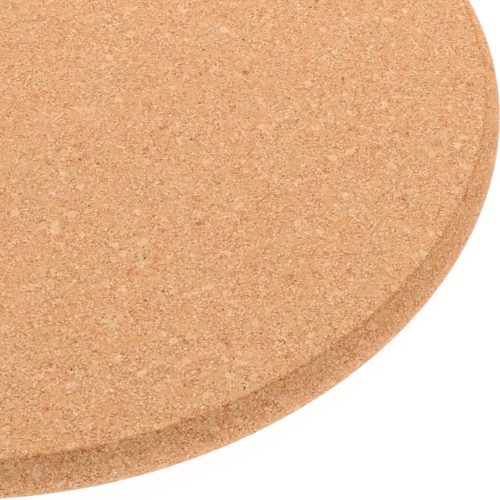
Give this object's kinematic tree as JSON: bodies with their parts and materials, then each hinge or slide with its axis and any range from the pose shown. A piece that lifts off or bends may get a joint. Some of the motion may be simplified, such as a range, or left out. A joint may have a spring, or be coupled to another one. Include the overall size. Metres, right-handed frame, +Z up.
{
  "type": "trivet",
  "caption": "Round cork trivet: a flat disc of pressed cork granules with a rounded side, laid under a hot pot to shield the table.",
  "frame": {"origin": "centre of the lower face, on the table", "axes": "+Z up through the middle of the disc, its axis of symmetry; X and Y lie in the lower face"},
  "size_m": [0.19, 0.19, 0.01],
  "materials": {
    "cork": "matte"
  },
  "bodies": {
    "root": {"cork_disc": "cork"}
  },
  "joints": []
}
